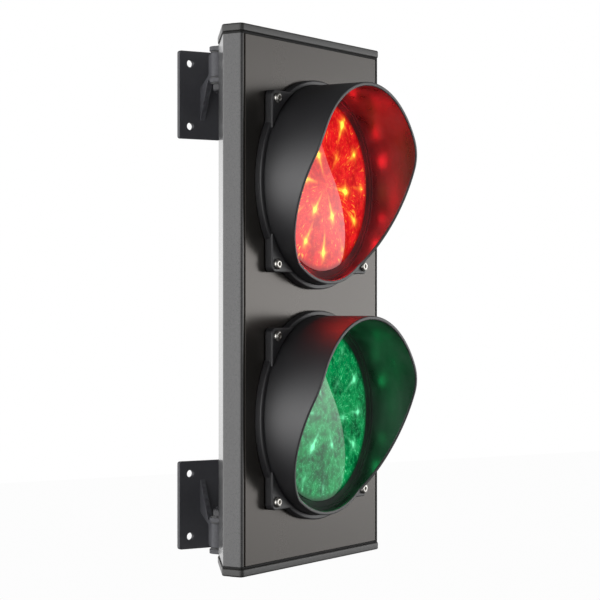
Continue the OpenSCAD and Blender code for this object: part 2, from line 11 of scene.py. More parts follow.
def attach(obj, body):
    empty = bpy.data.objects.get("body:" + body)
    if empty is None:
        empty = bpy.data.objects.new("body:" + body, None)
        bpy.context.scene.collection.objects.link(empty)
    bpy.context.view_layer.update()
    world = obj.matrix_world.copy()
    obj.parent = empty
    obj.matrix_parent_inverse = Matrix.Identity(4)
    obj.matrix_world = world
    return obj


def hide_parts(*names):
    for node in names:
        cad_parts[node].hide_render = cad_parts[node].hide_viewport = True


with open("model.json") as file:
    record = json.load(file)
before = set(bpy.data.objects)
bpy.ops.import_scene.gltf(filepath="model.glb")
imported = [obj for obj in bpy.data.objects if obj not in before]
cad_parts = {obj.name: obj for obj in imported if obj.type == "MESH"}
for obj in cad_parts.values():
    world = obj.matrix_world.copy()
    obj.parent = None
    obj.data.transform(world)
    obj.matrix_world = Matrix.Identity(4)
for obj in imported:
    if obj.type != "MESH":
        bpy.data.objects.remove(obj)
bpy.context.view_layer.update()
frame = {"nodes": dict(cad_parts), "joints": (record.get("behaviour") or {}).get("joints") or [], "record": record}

# ---- Sizes in millimetres, the same as the CAD model's ----

MM = 0.001
HEAD_TURN = 25
HOUSING_W = 193
HOUSING_D = 59.5
SIDE_D = 16.5
SLANT_IN = 55
WALL = 2
PROFILE_H = 386
LIP = 2.2
PANEL_T = 3.0
PANEL_OPENING_R = 71
PORT_R = 4
PORT_BORE_R = 2.05
# Screw ports: place across the head, and depth behind the panel's face
PORTS = [(side * x, depth) for x, depth in ((91, 8.4), (37.5, 54.1)) for side in (-1, 1)]
CAP_T = 6
CAP_OVER = 0.75
GASKET_T = 1.5
PIVOT_TO_REAR = 28.5
LAMP_UP = 87.5
BEZEL_R = 79.5
BEZEL_T = 5.5
LUG_T = 7
LUG_HALF = 67
SCREW_OFF = 61
LENS_R = 65.3
VISOR_R = 75.6
VISOR_WALL = 3
VISOR_REACH = 52
VISOR_LOW_REACH = 15
VISOR_FLANGE_R = 78
# Height over the panel where the visor's smooth inner wall starts
VISOR_WALL_START = 9.4
PLATE_UP = 163.5
PLATE_W = 52
PLATE_H = 70
PLATE_T = 4
WALL_HOLE_R = 3
WALL_HOLE_DX = 32
WALL_HOLE_DZ = 50
ARM_T = 4.5
BARREL_Z = (175.6, 194.8)
BARREL_R = 7
BOLT_R = 3.0
CLEVIS_T = 3
CLEVIS_SCREWS = [(side * 19, z) for side in (-1, 1) for z in (158, 188)]
EAR_T = 3.5
# Gap between the barrel and each ear: a friction washer and a little play
EAR_GAP = 1.1
EAR_R = 8
GLAND_UP = -92

COLOURS = ("red", "green")
ENDS = ("upper", "lower")

# ---- Places: each turns millimetres in a local frame into metres in the object's frame ----

PIVOT = Vector(frame["joints"][0]["pos_m"])
SWIVEL = Matrix.Translation(PIVOT) @ Matrix.Scale(MM, 4)
HEAD = (Matrix.Translation(PIVOT) @ Matrix.Rotation(math.radians(HEAD_TURN), 4, "Z")
        @ Matrix.Scale(MM, 4) @ Matrix.Translation((0, -PIVOT_TO_REAR - HOUSING_D, 0)))
WALL_FRAME = Matrix.Scale(MM, 4)
# Local z points out of the front face, and y points up
FRONT = Matrix.Rotation(math.radians(90), 4, "X")
# Local z points out of the back face
BACK = Matrix.Rotation(math.radians(-90), 4, "X")


def at(x, y, z):
    """A shift in millimetres."""
    return Matrix.Translation((x, y, z))


def lamp_place(colour):
    """The lamp's frame: z out of the panel's face, y up, origin at the lamp's centre."""
    return HEAD @ at(0, 0, LAMP_UP if colour == "red" else -LAMP_UP) @ FRONT


def mirrored(end):
    """The mirror image from the upper end to the lower end, or nothing for the upper end."""
    return Matrix.Scale(-1, 4, (0, 0, 1)) if end == "lower" else Matrix.Identity(4)


# ---- Outlines ----

def area(points):
    """Signed area of a closed outline: positive when it runs anticlockwise."""
    following = points[1:] + points[:1]
    return sum(a[0] * b[1] - b[0] * a[1] for a, b in zip(points, following)) / 2


def circle(radius, x=0.0, y=0.0, steps=40):
    """A closed round outline."""
    turns = [2 * math.pi * k / steps for k in range(steps)]
    return [(x + radius * math.cos(a), y + radius * math.sin(a)) for a in turns]


def corner_arc(before, corner, after, radius, steps):
    """The points of an arc that replaces a corner."""
    p = Vector(corner)
    a, b = (Vector(before) - p).normalized(), (Vector(after) - p).normalized()
    half = a.angle(b) / 2
    centre = p + (a + b).normalized() * radius / math.sin(half)
    start, stop = p + a * radius / math.tan(half) - centre, p + b * radius / math.tan(half) - centre
    sweep = math.atan2(start.x * stop.y - start.y * stop.x, start.dot(stop))
    return [tuple(centre + Matrix.Rotation(sweep * k / steps, 2) @ start) for k in range(steps + 1)]


def rounded(corners, steps=8):
    """A closed outline from (x, y, corner radius) rows."""
    outline = []
    for k, (x, y, radius) in enumerate(corners):
        before, after = corners[k - 1][:2], corners[(k + 1) % len(corners)][:2]
        outline += corner_arc(before, (x, y), after, radius, steps) if radius else [(x, y)]
    return outline


def housing_corners(grow, rear, radius):
    """The housing's plan outline, grown outwards, as rows for rounded()."""
    half = HOUSING_W / 2
    slant = math.atan2(HOUSING_D - SIDE_D, SLANT_IN)
    side_x = half + grow
    side_y = SIDE_D + grow * math.tan((math.pi / 2 - slant) / 2)
    rear_x = half - SLANT_IN + (grow - rear * math.cos(slant)) / math.sin(slant)
    rear_y = HOUSING_D + rear
    right = [(side_x, -grow, radius), (side_x, side_y, radius), (rear_x, rear_y, radius)]
    return right + [(-x, y, r) for x, y, r in reversed(right)]


# ---- Solids ----

def new_mesh(vertices, faces):
    """A mesh from plain lists."""
    mesh = bpy.data.meshes.new("part")
    mesh.from_pydata([tuple(v) for v in vertices], [], faces)
    return mesh


def plate(outer, holes, low, high, edge):
    """A flat piece from z = low to z = high with rounded edges of the given radius."""
    curve = bpy.data.curves.new("plate", "CURVE")
    curve.dimensions = "2D"
    curve.fill_mode = "BOTH"
    curve.extrude = (high - low) / 2 - edge
    curve.bevel_depth = edge
    curve.bevel_resolution = 2
    curve.offset = -edge
    for loop, way in [(outer, 1)] + [(hole, -1) for hole in holes]:
        loop = loop if area(loop) * way > 0 else loop[::-1]
        spline = curve.splines.new("POLY")
        spline.points.add(len(loop) - 1)
        for point, (x, y) in zip(spline.points, loop):
            point.co = (x, y, 0, 1)
        spline.use_cyclic_u = True
    holder = bpy.data.objects.new("plate", curve)
    bpy.context.scene.collection.objects.link(holder)
    bpy.context.view_layer.update()
    mesh = bpy.data.meshes.new_from_object(holder.evaluated_get(bpy.context.evaluated_depsgraph_get()))
    bpy.data.objects.remove(holder)
    bpy.data.curves.remove(curve)
    mesh.transform(at(0, 0, (low + high) / 2))
    return mesh


def hexagon(angle):
    """How far a hexagon's edge is from its centre at an angle, for corners at 1."""
    off_middle = (math.degrees(angle) % 60) - 30
    return math.cos(math.radians(30)) / math.cos(math.radians(off_middle))


def turned(rings, steps=96, closed=False):
    """A turned piece about z. Each ring is (radius, height) or (radius, height, shape of the ring)."""
    angles = [2 * math.pi * k / steps for k in range(steps)]
    vertices, faces = [], []
    for radius, height, *shape in rings:
        for a in angles:
            r = radius * (shape[0](a) if shape else 1)
            vertices.append((r * math.cos(a), r * math.sin(a), height))
    pairs = [(k, k + 1) for k in range(len(rings) - 1)] + ([(len(rings) - 1, 0)] if closed else [])
    for low, high in pairs:
        for k in range(steps):
            n = (k + 1) % steps
            faces.append((low * steps + k, low * steps + n, high * steps + n, high * steps + k))
    if not closed:
        faces.append(tuple(range(steps))[::-1])
        faces.append(tuple((len(rings) - 1) * steps + k for k in range(steps)))
    return new_mesh(vertices, faces)


def fillet(radius, height, size, start, stop, steps=4):
    """Rings of a rounded edge about a centre at (radius, height), between two angles in degrees."""
    turns = [math.radians(start + (stop - start) * k / steps) for k in range(steps + 1)]
    return [(radius + size * math.cos(a), height + size * math.sin(a)) for a in turns]


def joined(parts):
    """One mesh from (mesh, place) pairs. Mirrored parts keep their faces outwards."""
    bm = bmesh.new()
    for mesh, place in parts:
        copy = mesh.copy()
        copy.transform(place)
        if place.determinant() < 0:
            copy.flip_normals()
        bm.from_mesh(copy)
        bpy.data.meshes.remove(copy)
    bmesh.ops.remove_doubles(bm, verts=bm.verts, dist=1e-7)
    bmesh.ops.recalc_face_normals(bm, faces=bm.faces)
    mesh = bpy.data.meshes.new("joined")
    bm.to_mesh(mesh)
    bm.free()
    return mesh


def shade(mesh, sharp=32):
    """Smooth shading that breaks at edges sharper than an angle in degrees."""
    bm = bmesh.new()
    bm.from_mesh(mesh)
    for face in bm.faces:
        face.smooth = True
    for edge in bm.edges:
        edge.smooth = len(edge.link_faces) == 2 and edge.calc_face_angle(0) < math.radians(sharp)
    bm.to_mesh(mesh)
    bm.free()


def piece(name, parts, node, body="head", uv_place=None):
    """A shown piece made of parts, which stands for a CAD node and takes that node's slot."""
    mesh = joined(parts)
    shade(mesh)
    if uv_place is not None:
        add_lamp_uv(mesh, uv_place)
    mesh.materials.append(MATERIALS[SLOTS[node]])
    obj = bpy.data.objects.new(name, mesh)
    bpy.context.scene.collection.objects.link(obj)
    obj.modifiers.new("even_shading", "WEIGHTED_NORMAL").keep_sharp = True
    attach(obj, body)
    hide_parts(node)
    return obj


def add_lamp_uv(mesh, place):
    """A UV map that gives each point's place across the lens: 0 at the centre and 1 at its edge."""
    layer = mesh.uv_layers.new(name="lens_place")
    inverse = place.inverted()
    for loop in mesh.loops:
        local = inverse @ mesh.vertices[loop.vertex_index].co
        layer.data[loop.index].uv = (local.x / LENS_R, local.y / LENS_R)


# ---- Node helpers for materials ----

# Colour clouds per metre on every surface, and the specks' share of the fine texture's features
CLOUD_SCALE = 14.0
SPECK_SHARE = 0.35
# How far in metres the painted shade in crevices reaches
CREVICE_SHADE_REACH = 0.004


def put(tree, kind, inputs=None, **settings):
    """Adds a node. Inputs are numbers, colours or other nodes' sockets."""
    node = tree.nodes.new(kind)
    for key, value in settings.items():
        setattr(node, key, value)
    for key, value in (inputs or {}).items():
        if isinstance(value, bpy.types.NodeSocket):
            tree.links.new(value, node.inputs[key])
        else:
            node.inputs[key].default_value = value
    return node


def new_material(name):
    """A material with its node tree and its shader."""
    material = bpy.data.materials.new(name)
    material.use_nodes = True
    tree = material.node_tree
    return material, tree, tree.nodes["Principled BSDF"]


class Wave:
    """A number that varies over a surface, made of math nodes."""

    def __init__(self, tree, socket):
        self.tree = tree
        self.socket = socket

    def do(self, operation, *others):
        """The result of a math node on this number and up to two more."""
        inputs = {0: self.socket}
        for k, other in enumerate(others, 1):
            inputs[k] = other.socket if isinstance(other, Wave) else other
        return Wave(self.tree, put(self.tree, "ShaderNodeMath", inputs, operation=operation).outputs[0])

    def __add__(self, other):
        return self.do("ADD", other)

    def __sub__(self, other):
        return self.do("SUBTRACT", other)

    def __mul__(self, other):
        return self.do("MULTIPLY", other)

    def __truediv__(self, other):
        return self.do("DIVIDE", other)

    def bump(self, width):
        """A smooth hump, 1 where this number is 0 and near 0 past the width."""
        scaled = self / width
        return (scaled * scaled * -1.0).do("EXPONENT")

    def clamp(self):
        """This number kept between 0 and 1."""
        return self.do("MINIMUM", 1.0).do("MAXIMUM", 0.0)

    def ramp(self, low, high):
        """0 at low and 1 at high, and level past both."""
        return ((self - low) / (high - low)).clamp()


def mix_colours(tree, share, first, second):
    """A colour between two, by a share from 0 to 1."""
    node = put(tree, "ShaderNodeMix", data_type="RGBA")
    for socket, value in (("Factor_Float", share), ("A_Color", first), ("B_Color", second)):
        target = next(s for s in node.inputs if s.identifier == socket)
        if isinstance(value, bpy.types.NodeSocket):
            tree.links.new(value, target)
        else:
            target.default_value = value
    return next(s for s in node.outputs if s.identifier == "Result_Color")


def noise(tree, scale, stretch=(1, 1, 1), detail=3.0, vector=None):
    """Soft random clouds in object space, with features about 1/scale metres wide."""
    if vector is None:
        vector = put(tree, "ShaderNodeTexCoord").outputs["Object"]
    mapping = put(tree, "ShaderNodeMapping", {"Vector": vector, "Scale": stretch})
    node = put(tree, "ShaderNodeTexNoise", {"Vector": mapping.outputs[0], "Scale": scale, "Detail": detail})
    return Wave(tree, node.outputs["Fac"])


def marked(tree, name):
    """A number that the mesh carries as an attribute."""
    return Wave(tree, put(tree, "ShaderNodeAttribute", attribute_name=name).outputs["Fac"])


def opaque(colour, factor=1.0):
    """A colour made lighter or darker by a factor, with full alpha."""
    return tuple(min(1.0, c * factor) for c in colour[:3]) + (1.0,)


def rubbed_edges(tree, base, colour, specks, worn):
    """Lightens the sharp edges in patches."""
    edges = Wave(tree, put(tree, "ShaderNodeNewGeometry").outputs["Pointiness"]).ramp(0.52, 0.6)
    rubbed = edges * specks.ramp(0.35, 0.65) * worn
    return mix_colours(tree, rubbed.socket, base, opaque(colour, 2.5))


def paint_crevice_shade(tree, base, colour, depth):
    """Paints shade into the colour: darkens it towards black within a few millimetres of other faces, where shade
    falls.
    """
    crevice_occlusion = put(tree, "ShaderNodeAmbientOcclusion", {"Distance": CREVICE_SHADE_REACH}, samples=8)
    # Painted shade: the more a place is shut in by nearby faces, the darker its colour is painted
    shade_share = Wave(tree, crevice_occlusion.outputs["AO"]).ramp(0.75, 0.35) * depth
    return mix_colours(tree, shade_share.socket, base, opaque(colour, 0.03))


def hood_wall(tree, base, colour, roughness, smoother):
    """A hood's colour and roughness: its inner wall is smoother and patchy, and its shoulders are dull."""
    inside = marked(tree, "inside")
    flow = noise(tree, 60.0, (1, 1, 0.4), 2.0)
    wall_roughness = roughness + inside * (flow * 0.4 - 0.2 - smoother) + marked(tree, "sunk") * 0.5
    paler = inside * flow.ramp(0.4, 0.7)
    return mix_colours(tree, paler.socket, base, opaque(colour, 2.5)), wall_roughness


def surface(name, colour, rough, grain, vary=0.12, worn=0.0, crevice_shade=0.0, smooth_inside=0.0, **constants):
    """A moulded, painted or metal surface.

    grain is (features per metre, height in metres) of its fine texture, vary is how much its colour drifts,
    worn is how much its edges are lightened, crevice_shade is how much painted shade darkens its crevices,
    smooth_inside is how much less rough a hood's inner wall is than its outside, and constants are the shader's
    fixed numbers.
    """
    material, tree, shader = new_material(name)
    for key, value in constants.items():
        shader.inputs[key.replace("_", " ")].default_value = value
    features, grain_height = grain
    clouds = noise(tree, CLOUD_SCALE)
    specks = noise(tree, features * SPECK_SHARE, detail=2.0)
    fine = noise(tree, features, detail=2.0)
    drift = (clouds * 0.65 + specks * 0.35).ramp(0.3, 0.7)
    base = mix_colours(tree, drift.socket, opaque(colour, 1 - vary), opaque(colour, 1 + vary))
    roughness = fine * 0.05 + clouds * vary * 0.5 + (rough - 0.025 - vary * 0.25)
    if worn:
        base = rubbed_edges(tree, base, colour, specks, worn)
    # Painted shade: the colour is darkened in crevices and grooves
    if crevice_shade:
        base = paint_crevice_shade(tree, base, colour, crevice_shade)
    if smooth_inside:
        base, roughness = hood_wall(tree, base, colour, roughness, smooth_inside)
        fine = fine * (marked(tree, "inside") * -1.0 + 1.0)
    tree.links.new(base, shader.inputs["Base Color"])
    tree.links.new(roughness.socket, shader.inputs["Roughness"])
    relief = put(tree, "ShaderNodeBump", {"Height": fine.socket, "Strength": 0.35, "Distance": grain_height})
    tree.links.new(relief.outputs[0], shader.inputs["Normal"])
    return material


# ---- Lens material ----

# Rings of LEDs behind each lens: radius in millimetres, count, and turn of the ring in steps
LED_RINGS = ((27, 6, 0.62), (53, 12, 0.5))


def led_ring(tree, out, turn, ring_mm, count, phase, seed):
    """Sparks of one ring of LEDs, each with a core, a soft spread, a cross streak and a tail inwards."""
    cell = turn * count + phase
    number = cell.do("FLOOR").do("FLOORED_MODULO", count) + seed
    random = put(tree, "ShaderNodeTexWhiteNoise", {"W": number.socket}, noise_dimensions="1D")
    picked = Wave(tree, random.outputs["Value"])
    drift = picked * 9.0
    past = out * LENS_R - (drift.do("SINE") * 3.0 + ring_mm)
    aside = (cell.do("FRACT") - 0.5) * out * (LENS_R * 2 * math.pi / count)
    # Each part's width outwards and width sideways, in millimetres
    core = past.bump(2.4) * aside.bump(1.7)
    spread = past.bump(5.5) * aside.bump(3.4)
    tail = (past + 6.0).bump(7.5) * aside.bump(1.2)
    cross = past.bump(1.1) * aside.bump(5.5)
    power = (picked * 1.3 - 0.15).do("MAXIMUM", 0.12)
    return (core * 1.5 + spread * 0.4 + tail * 0.5 + cross * 0.35) * power


def lens_places(tree):
    """A lens point's share of the radius, its turn round the centre, and its way out as a vector."""
    uv = put(tree, "ShaderNodeUVMap", uv_map="lens_place")
    place = put(tree, "ShaderNodeSeparateXYZ", {0: uv.outputs[0]})
    x, y = Wave(tree, place.outputs[0]), Wave(tree, place.outputs[1])
    out = (x * x + y * y).do("SQRT")
    turn = y.do("ARCTAN2", x) / (2 * math.pi)
    parts = {0: (x / out).socket, 1: (y / out).socket, 2: (out * 0.35).socket}
    return out, turn, put(tree, "ShaderNodeCombineXYZ", parts).outputs[0]


def led_light(tree, out, turn, way, facets, mottle, seed):
    """Thin streaks out from the lens's centre, and sparks over the LEDs."""
    rays = noise(tree, 30.0, detail=2.0, vector=way)
    light = rays.ramp(0.6, 0.7) * mottle.ramp(0.5, 0.62) * facets.ramp(0.3, 0.6) * 0.55
    for k, (ring_mm, count, phase) in enumerate(LED_RINGS):
        sparks = led_ring(tree, out, turn, ring_mm, count, phase, seed + 20 * k)
        light = light + sparks * (facets * 1.6 + rays * 0.8 - 0.35).do("MAXIMUM", 0.0)
    return light


def lens_material(name, deep, bright, spark, seed, crackle):
    """A glossy tinted lens, lit from behind by rings of LEDs seen through a faceted disc."""
    material, tree, shader = new_material(name)
    out, turn, way = lens_places(tree)
    facets = noise(tree, 260.0, detail=5.0)
    mottle = noise(tree, 70.0, detail=3.0)
    ridges = noise(tree, 420.0, detail=2.0) - 0.5
    glow = (mottle * 0.6 + facets * 0.4).ramp(0.38, 0.58)
    leds = led_light(tree, out, turn, way, facets, mottle, seed)
    leds = leds + ridges.bump(0.02) * facets.ramp(0.4, 0.6) * crackle
    lit = mix_colours(tree, glow.socket, deep, bright)
    colour = mix_colours(tree, leds.clamp().socket, lit, spark)
    colour = mix_colours(tree, out.ramp(0.93, 1.0).socket, colour, opaque(deep, 0.35))
    tree.links.new(colour, shader.inputs["Emission Color"])
    shader.inputs["Emission Strength"].default_value = 1.0
    shader.inputs["Base Color"].default_value = opaque(bright, 0.25)
    tree.links.new((facets * 0.1 + 0.08).socket, shader.inputs["Roughness"])
    shader.inputs["Specular IOR Level"].default_value = 0.0
    shader.inputs["Coat Weight"].default_value = 0.8
    shader.inputs["Coat Roughness"].default_value = 0.02
    relief = put(tree, "ShaderNodeBump", {"Height": facets.socket, "Strength": 0.3, "Distance": 0.0006})
    tree.links.new(relief.outputs[0], shader.inputs["Normal"])
    return material


# ---- Materials, one for each of the record's slots ----

GREY = (0.034, 0.032, 0.029)
BLACK = (0.034, 0.0335, 0.037)


def make_materials():
    """Every material by its slot's name."""
    return {
        "housing_paint": surface("housing_paint", (0.039, 0.039, 0.04), 0.28, (1500, 2e-6), vary=0.03,
                                 worn=0.25, Coat_Weight=0.5, Coat_Roughness=0.12),
        # Painted shade: the panel's colour goes black in its grooves and next to the parts on its face
        "panel_paint": surface("panel_paint", GREY, 0.22, (1500, 2e-6), vary=0.03, worn=0.2, crevice_shade=1.0,
                               Specular_IOR_Level=0.65, Specular_Tint=(1, 0.91, 0.83, 1)),
        "cap_plastic": surface("cap_plastic", (0.045, 0.044, 0.042), 0.33, (1500, 2e-5), vary=0.05,
                               worn=0.2),
        "hood_plastic": surface("hood_plastic", BLACK, 0.46, (1300, 4e-5), vary=0.1, worn=0.15,
                                smooth_inside=0.13, Specular_IOR_Level=0.95),
        "bowl_plastic": surface("bowl_plastic", (0.03, 0.03, 0.03), 0.5, (1200, 6e-5)),
        "rubber": surface("rubber", (0.012, 0.012, 0.012), 0.75, (1400, 8e-5)),
        "red_prism": surface("red_prism", (0.85, 0.02, 0.02), 0.12, (300, 1e-4), Coat_Weight=1.0),
        "green_prism": surface("green_prism", (0.0, 0.5, 0.22), 0.12, (300, 1e-4), Coat_Weight=1.0),
        "reflector": surface("reflector", (0.8, 0.8, 0.82), 0.12, (500, 1e-5), vary=0.03, Metallic=1.0),
        "led_board": surface("led_board", (0.75, 0.76, 0.74), 0.4, (900, 2e-5), vary=0.04),
        "led_epoxy": surface("led_epoxy", (0.8, 0.82, 0.8), 0.15, (600, 2e-5), vary=0.04,
                             Coat_Weight=1.0),
        "plug_plastic": surface("plug_plastic", (0.8, 0.79, 0.75), 0.4, (1500, 4e-5), vary=0.05),
        "lead_sheath": surface("lead_sheath", (0.04, 0.04, 0.04), 0.45, (1500, 3e-5)),
        "earth_sheath": surface("earth_sheath", (0.35, 0.5, 0.05), 0.45, (1500, 3e-5)),
        "circuit_board": surface("circuit_board", (0.01, 0.12, 0.05), 0.3, (700, 3e-5), vary=0.2),
        "component_cases": surface("component_cases", (0.05, 0.055, 0.065), 0.45, (1200, 4e-5), vary=0.2),
        "terminal_plastic": surface("terminal_plastic", (0.02, 0.3, 0.1), 0.4, (1300, 4e-5)),
        "plated_steel": surface("plated_steel", (0.6, 0.6, 0.58), 0.3, (1200, 3e-5), vary=0.08, worn=0.2,
                                Metallic=1.0),
        "brass": surface("brass", (0.62, 0.45, 0.19), 0.28, (1200, 3e-5), vary=0.08, worn=0.2,
                         Metallic=1.0),
        "gland_plastic": surface("gland_plastic", BLACK, 0.4, (1300, 5e-5), vary=0.12, worn=0.15),
        "nylon": surface("nylon", (0.07, 0.07, 0.07), 0.45, (1300, 4e-5), vary=0.05),
        "bracket_paint": surface("bracket_paint", (0.088, 0.089, 0.1), 0.5, (1000, 4e-5), vary=0.1,
                                 worn=0.3),
        "blackened_steel": surface("blackened_steel", (0.045, 0.045, 0.05), 0.4, (1200, 3e-5), vary=0.1,
                                   worn=0.1),
        "stainless_steel": surface("stainless_steel", (0.66, 0.64, 0.6), 0.24, (1600, 2e-5), vary=0.08,
                                   worn=0.3, Metallic=1.0),
        "red_lens": lens_material("red_lens", deep=(0.55, 0.004, 0.008, 1),
                                  bright=(0.92, 0.012, 0.018, 1), spark=(2.6, 1.5, 0.12, 1), seed=3,
                                  crackle=0.06),
        "green_lens": lens_material("green_lens", deep=(0.0, 0.075, 0.022, 1),
                                    bright=(0.001, 0.29, 0.075, 1), spark=(0.25, 1.25, 0.62, 1), seed=11,
                                    crackle=0.3),
    }


MATERIALS = make_materials()
SLOTS = {row["node"]: row["material_slot"] for row in frame["record"]["subparts"]}


def paint_cad_nodes():
    """Gives every CAD node its slot's material."""
    for name, obj in frame["nodes"].items():
        for slot in obj.material_slots:
            slot.material = MATERIALS[SLOTS[name]]


# ---- Housing ----

def build_housing():
    """The C-shaped profile: lip, groove and rib along each front edge, and the screw ports inside."""
    half = HOUSING_W / 2
    rib, rib_y, rib_t = 9, 3.2, 1.8
    outside = housing_corners(0, 0, 2.5)
    right = [(half, 0, LIP)] + outside[1:3]
    inner = housing_corners(-WALL, -WALL, 1.5)[1:3]
    half_section = [(half - LIP, 0, 0)] + right
    back_inside = [(x, y, r) for x, y, r in reversed(inner)]
    inner_wall = back_inside + [(half - WALL, rib_y + rib_t, 0), (half - rib, rib_y + rib_t, 0),
                                (half - rib, rib_y, 0), (half - LIP, rib_y, 0)]
    section = half_section + [(-x, y, r) for x, y, r in reversed(half_section)]
    section += [(-x, y, r) for x, y, r in reversed(inner_wall)] + inner_wall
    profile = plate(rounded(section), [], -PROFILE_H / 2, PROFILE_H / 2, 0.0)
    port = plate(circle(PORT_R), [circle(PORT_BORE_R)], -PROFILE_H / 2, PROFILE_H / 2, 0.0)
    ports = [(port, HEAD @ at(x, depth, 0)) for x, depth in PORTS]
    piece("housing_profile_shell", [(profile, HEAD)] + ports, "housing_profile")


def build_panel():
    """The face between the grooves, with its tongues behind, open where the lamps go through."""
    half = HOUSING_W / 2
    openings = [circle(PANEL_OPENING_R, 0, side * LAMP_UP, 120) for side in (-1, 1)]
    face_half, tongue_half, top = half - 4.8, half - 2.6, PROFILE_H / 2
    groove = 0.8
    face = [(face_half, -top), (face_half, top), (-face_half, top), (-face_half, -top)]
    tongue = [(x / face_half * tongue_half, y) for x, y in face]
    parts = [(plate(face, openings, -PANEL_T, 0.0, 0.35), HEAD @ FRONT),
             (plate(tongue, openings, -PANEL_T - 0.1, -groove, 0.0), HEAD @ FRONT)]
    piece("front_panel_face", parts, "front_panel")


def build_gasket(name, end):
    """The rubber seal between the profile and a cap, flush with the profile."""
    low = PROFILE_H / 2
    outline, inner = rounded(housing_corners(0, 0, 2.5)), rounded(housing_corners(-6, -6, 1.5))
    gap = 0.02
    seal = plate(outline, [inner], low + gap, low + GASKET_T - gap, 0.0)
    piece(f"{name}_gasket_seal", [(seal, mirrored(end) @ HEAD)], f"{name}_gasket")


def build_cap(name, end):
    """An end cap with rounded edges and four countersunk screw holes."""
    base = PROFILE_H / 2 + GASKET_T
    outline = rounded(housing_corners(CAP_OVER, -0.3, 3.3))
    body = plate(outline, [circle(4.1, x, depth) for x, depth in PORTS], base, base + CAP_T, 1.3)
    piece(f"{name}_cap_moulding", [(body, mirrored(end) @ HEAD)], f"{name}_cap")
    head = turned([(2.0, -3), (3.7, -1.8), (3.8, -0.4), (3.6, -0.15), (2.1, -0.15), (1.7, -0.5, hexagon),
                   (1.6, -1.6, hexagon), (0.3, -1.8)], 48)
    screws = [(head, mirrored(end) @ HEAD @ at(x, depth, base + CAP_T)) for x, depth in PORTS]
    piece(f"{name}_cap_screw_heads", screws, f"{name}_cap_screws")


# ---- Lamps ----

def lug_outline():
    """One screw lug: the square's corner outside the ring."""
    meet_r, inner_r, steps = 77.5, 76.6, 12
    reach = math.sqrt(meet_r ** 2 - LUG_HALF ** 2)
    start, stop = math.atan2(LUG_HALF, reach), math.atan2(reach, LUG_HALF)
    turns = [start + (stop - start) * k / steps for k in range(steps + 1)]
    arc = [(inner_r * math.cos(a), inner_r * math.sin(a)) for a in turns]
    corner = rounded([(LUG_HALF, reach, 0), (LUG_HALF, LUG_HALF, 4.5), (reach, LUG_HALF, 0)])
    return corner + arc


def build_bezel(colour):
    """A rounded ring round the visor with four square screw lugs."""
    place = lamp_place(colour)
    ring = turned([(VISOR_R + 0.3, 0.2), (VISOR_R + 0.3, BEZEL_T - 0.5), (VISOR_R + 0.7, BEZEL_T - 0.05)]
                  + fillet(BEZEL_R - 1.3, BEZEL_T - 1.3, 1.3, 90, 0, 6) + [(BEZEL_R, 0.2)], 192, closed=True)
    lug = plate(lug_outline(), [], 0.2, LUG_T, 0.9)
    spins = [Matrix.Rotation(math.radians(90 * k), 4, "Z") for k in range(4)]
    parts = [(ring, place)] + [(lug, place @ spin) for spin in spins]
    piece(f"{colour}_bezel_ring", parts, f"{colour}_bezel")


def visor_reach(height):
    """How far the visor reaches in front of the panel at a height on the lamp."""
    top, low, corner = 26, -62, 60
    lean = math.atan((VISOR_REACH - VISOR_LOW_REACH) / (top - low))
    run = corner * math.tan(lean / 2)
    arc_low = top + run - corner * math.sin(lean)
    if height >= top + run:
        return VISOR_REACH
    if height >= arc_low:
        return VISOR_REACH - corner + math.sqrt(corner ** 2 - (height - top - run) ** 2)
    if height > low:
        return VISOR_REACH - (top - height) * math.tan(lean)
    return VISOR_LOW_REACH


def build_visor(colour):
    """A tube cut on a slant, with a rounded rim outside and stepped shoulders round the lens inside."""
    inner, edge, steps = VISOR_R - VISOR_WALL, 0.9, 288
    rim = fillet(VISOR_R - edge, -edge, edge, 0, 90) + fillet(inner + edge, -edge, edge, 90, 180)
    shoulder = [(inner, 9.2), (inner - 0.3, 8.6), (inner - 1.9, 8.4), (inner - 2.2, 7.4), (inner - 2.6, 7.2),
                (LENS_R + 1.0, 7.2), (LENS_R + 0.3, 6.9), (LENS_R + 0.3, 6.0), (70.6, 6.0), (70.6, 0.2)]
    flange = [(VISOR_FLANGE_R, 0.2), (VISOR_FLANGE_R, 2.5), (VISOR_R + 0.2, 2.7)]
    shares = (0.0, 0.25, 0.5, 0.75)
    vertices, faces = [], []
    for k in range(steps):
        a = 2 * math.pi * k / steps
        reach = visor_reach(VISOR_R * math.sin(a))
        outside = [(VISOR_R, 3 + s * (reach - 3 - edge)) for s in shares]
        wall_h = reach - VISOR_WALL_START - edge
        inside = [(inner, VISOR_WALL_START + s * wall_h) for s in reversed(shares)]
        loop = flange + outside + [(r, reach + z) for r, z in rim] + inside + shoulder
        vertices += [(r * math.cos(a), r * math.sin(a), z) for r, z in loop]
    count = len(vertices) // steps
    for k in range(steps):
        for j in range(count):
            a, b = k * count + j, k * count + (j + 1) % count
            c, d = ((k + 1) % steps) * count + (j + 1) % count, ((k + 1) % steps) * count + j
            faces.append((a, d, c, b))
    hood = piece(f"{colour}_visor_hood", [(new_mesh(vertices, faces), lamp_place(colour))], f"{colour}_visor")
    mark_inside(hood.data, lamp_place(colour))


def mark_inside(mesh, place):
    """Visor attributes: "inside" is 1 on its smooth inner wall, and "sunk" is 1 on its dull shoulders."""
    inverse = place.inverted()
    start = VISOR_WALL_START - 0.1
    inside = mesh.attributes.new("inside", "FLOAT", "POINT")
    sunk = mesh.attributes.new("sunk", "FLOAT", "POINT")
    for k, vertex in enumerate(mesh.vertices):
        local = inverse @ vertex.co
        from_wall = math.hypot(local.x, local.y) - VISOR_R + VISOR_WALL
        inside.data[k].value = 1.0 if abs(from_wall) < 0.1 and local.z > start else 0.0
        sunk.data[k].value = 1.0 if from_wall < 0.1 and local.z < start else 0.0


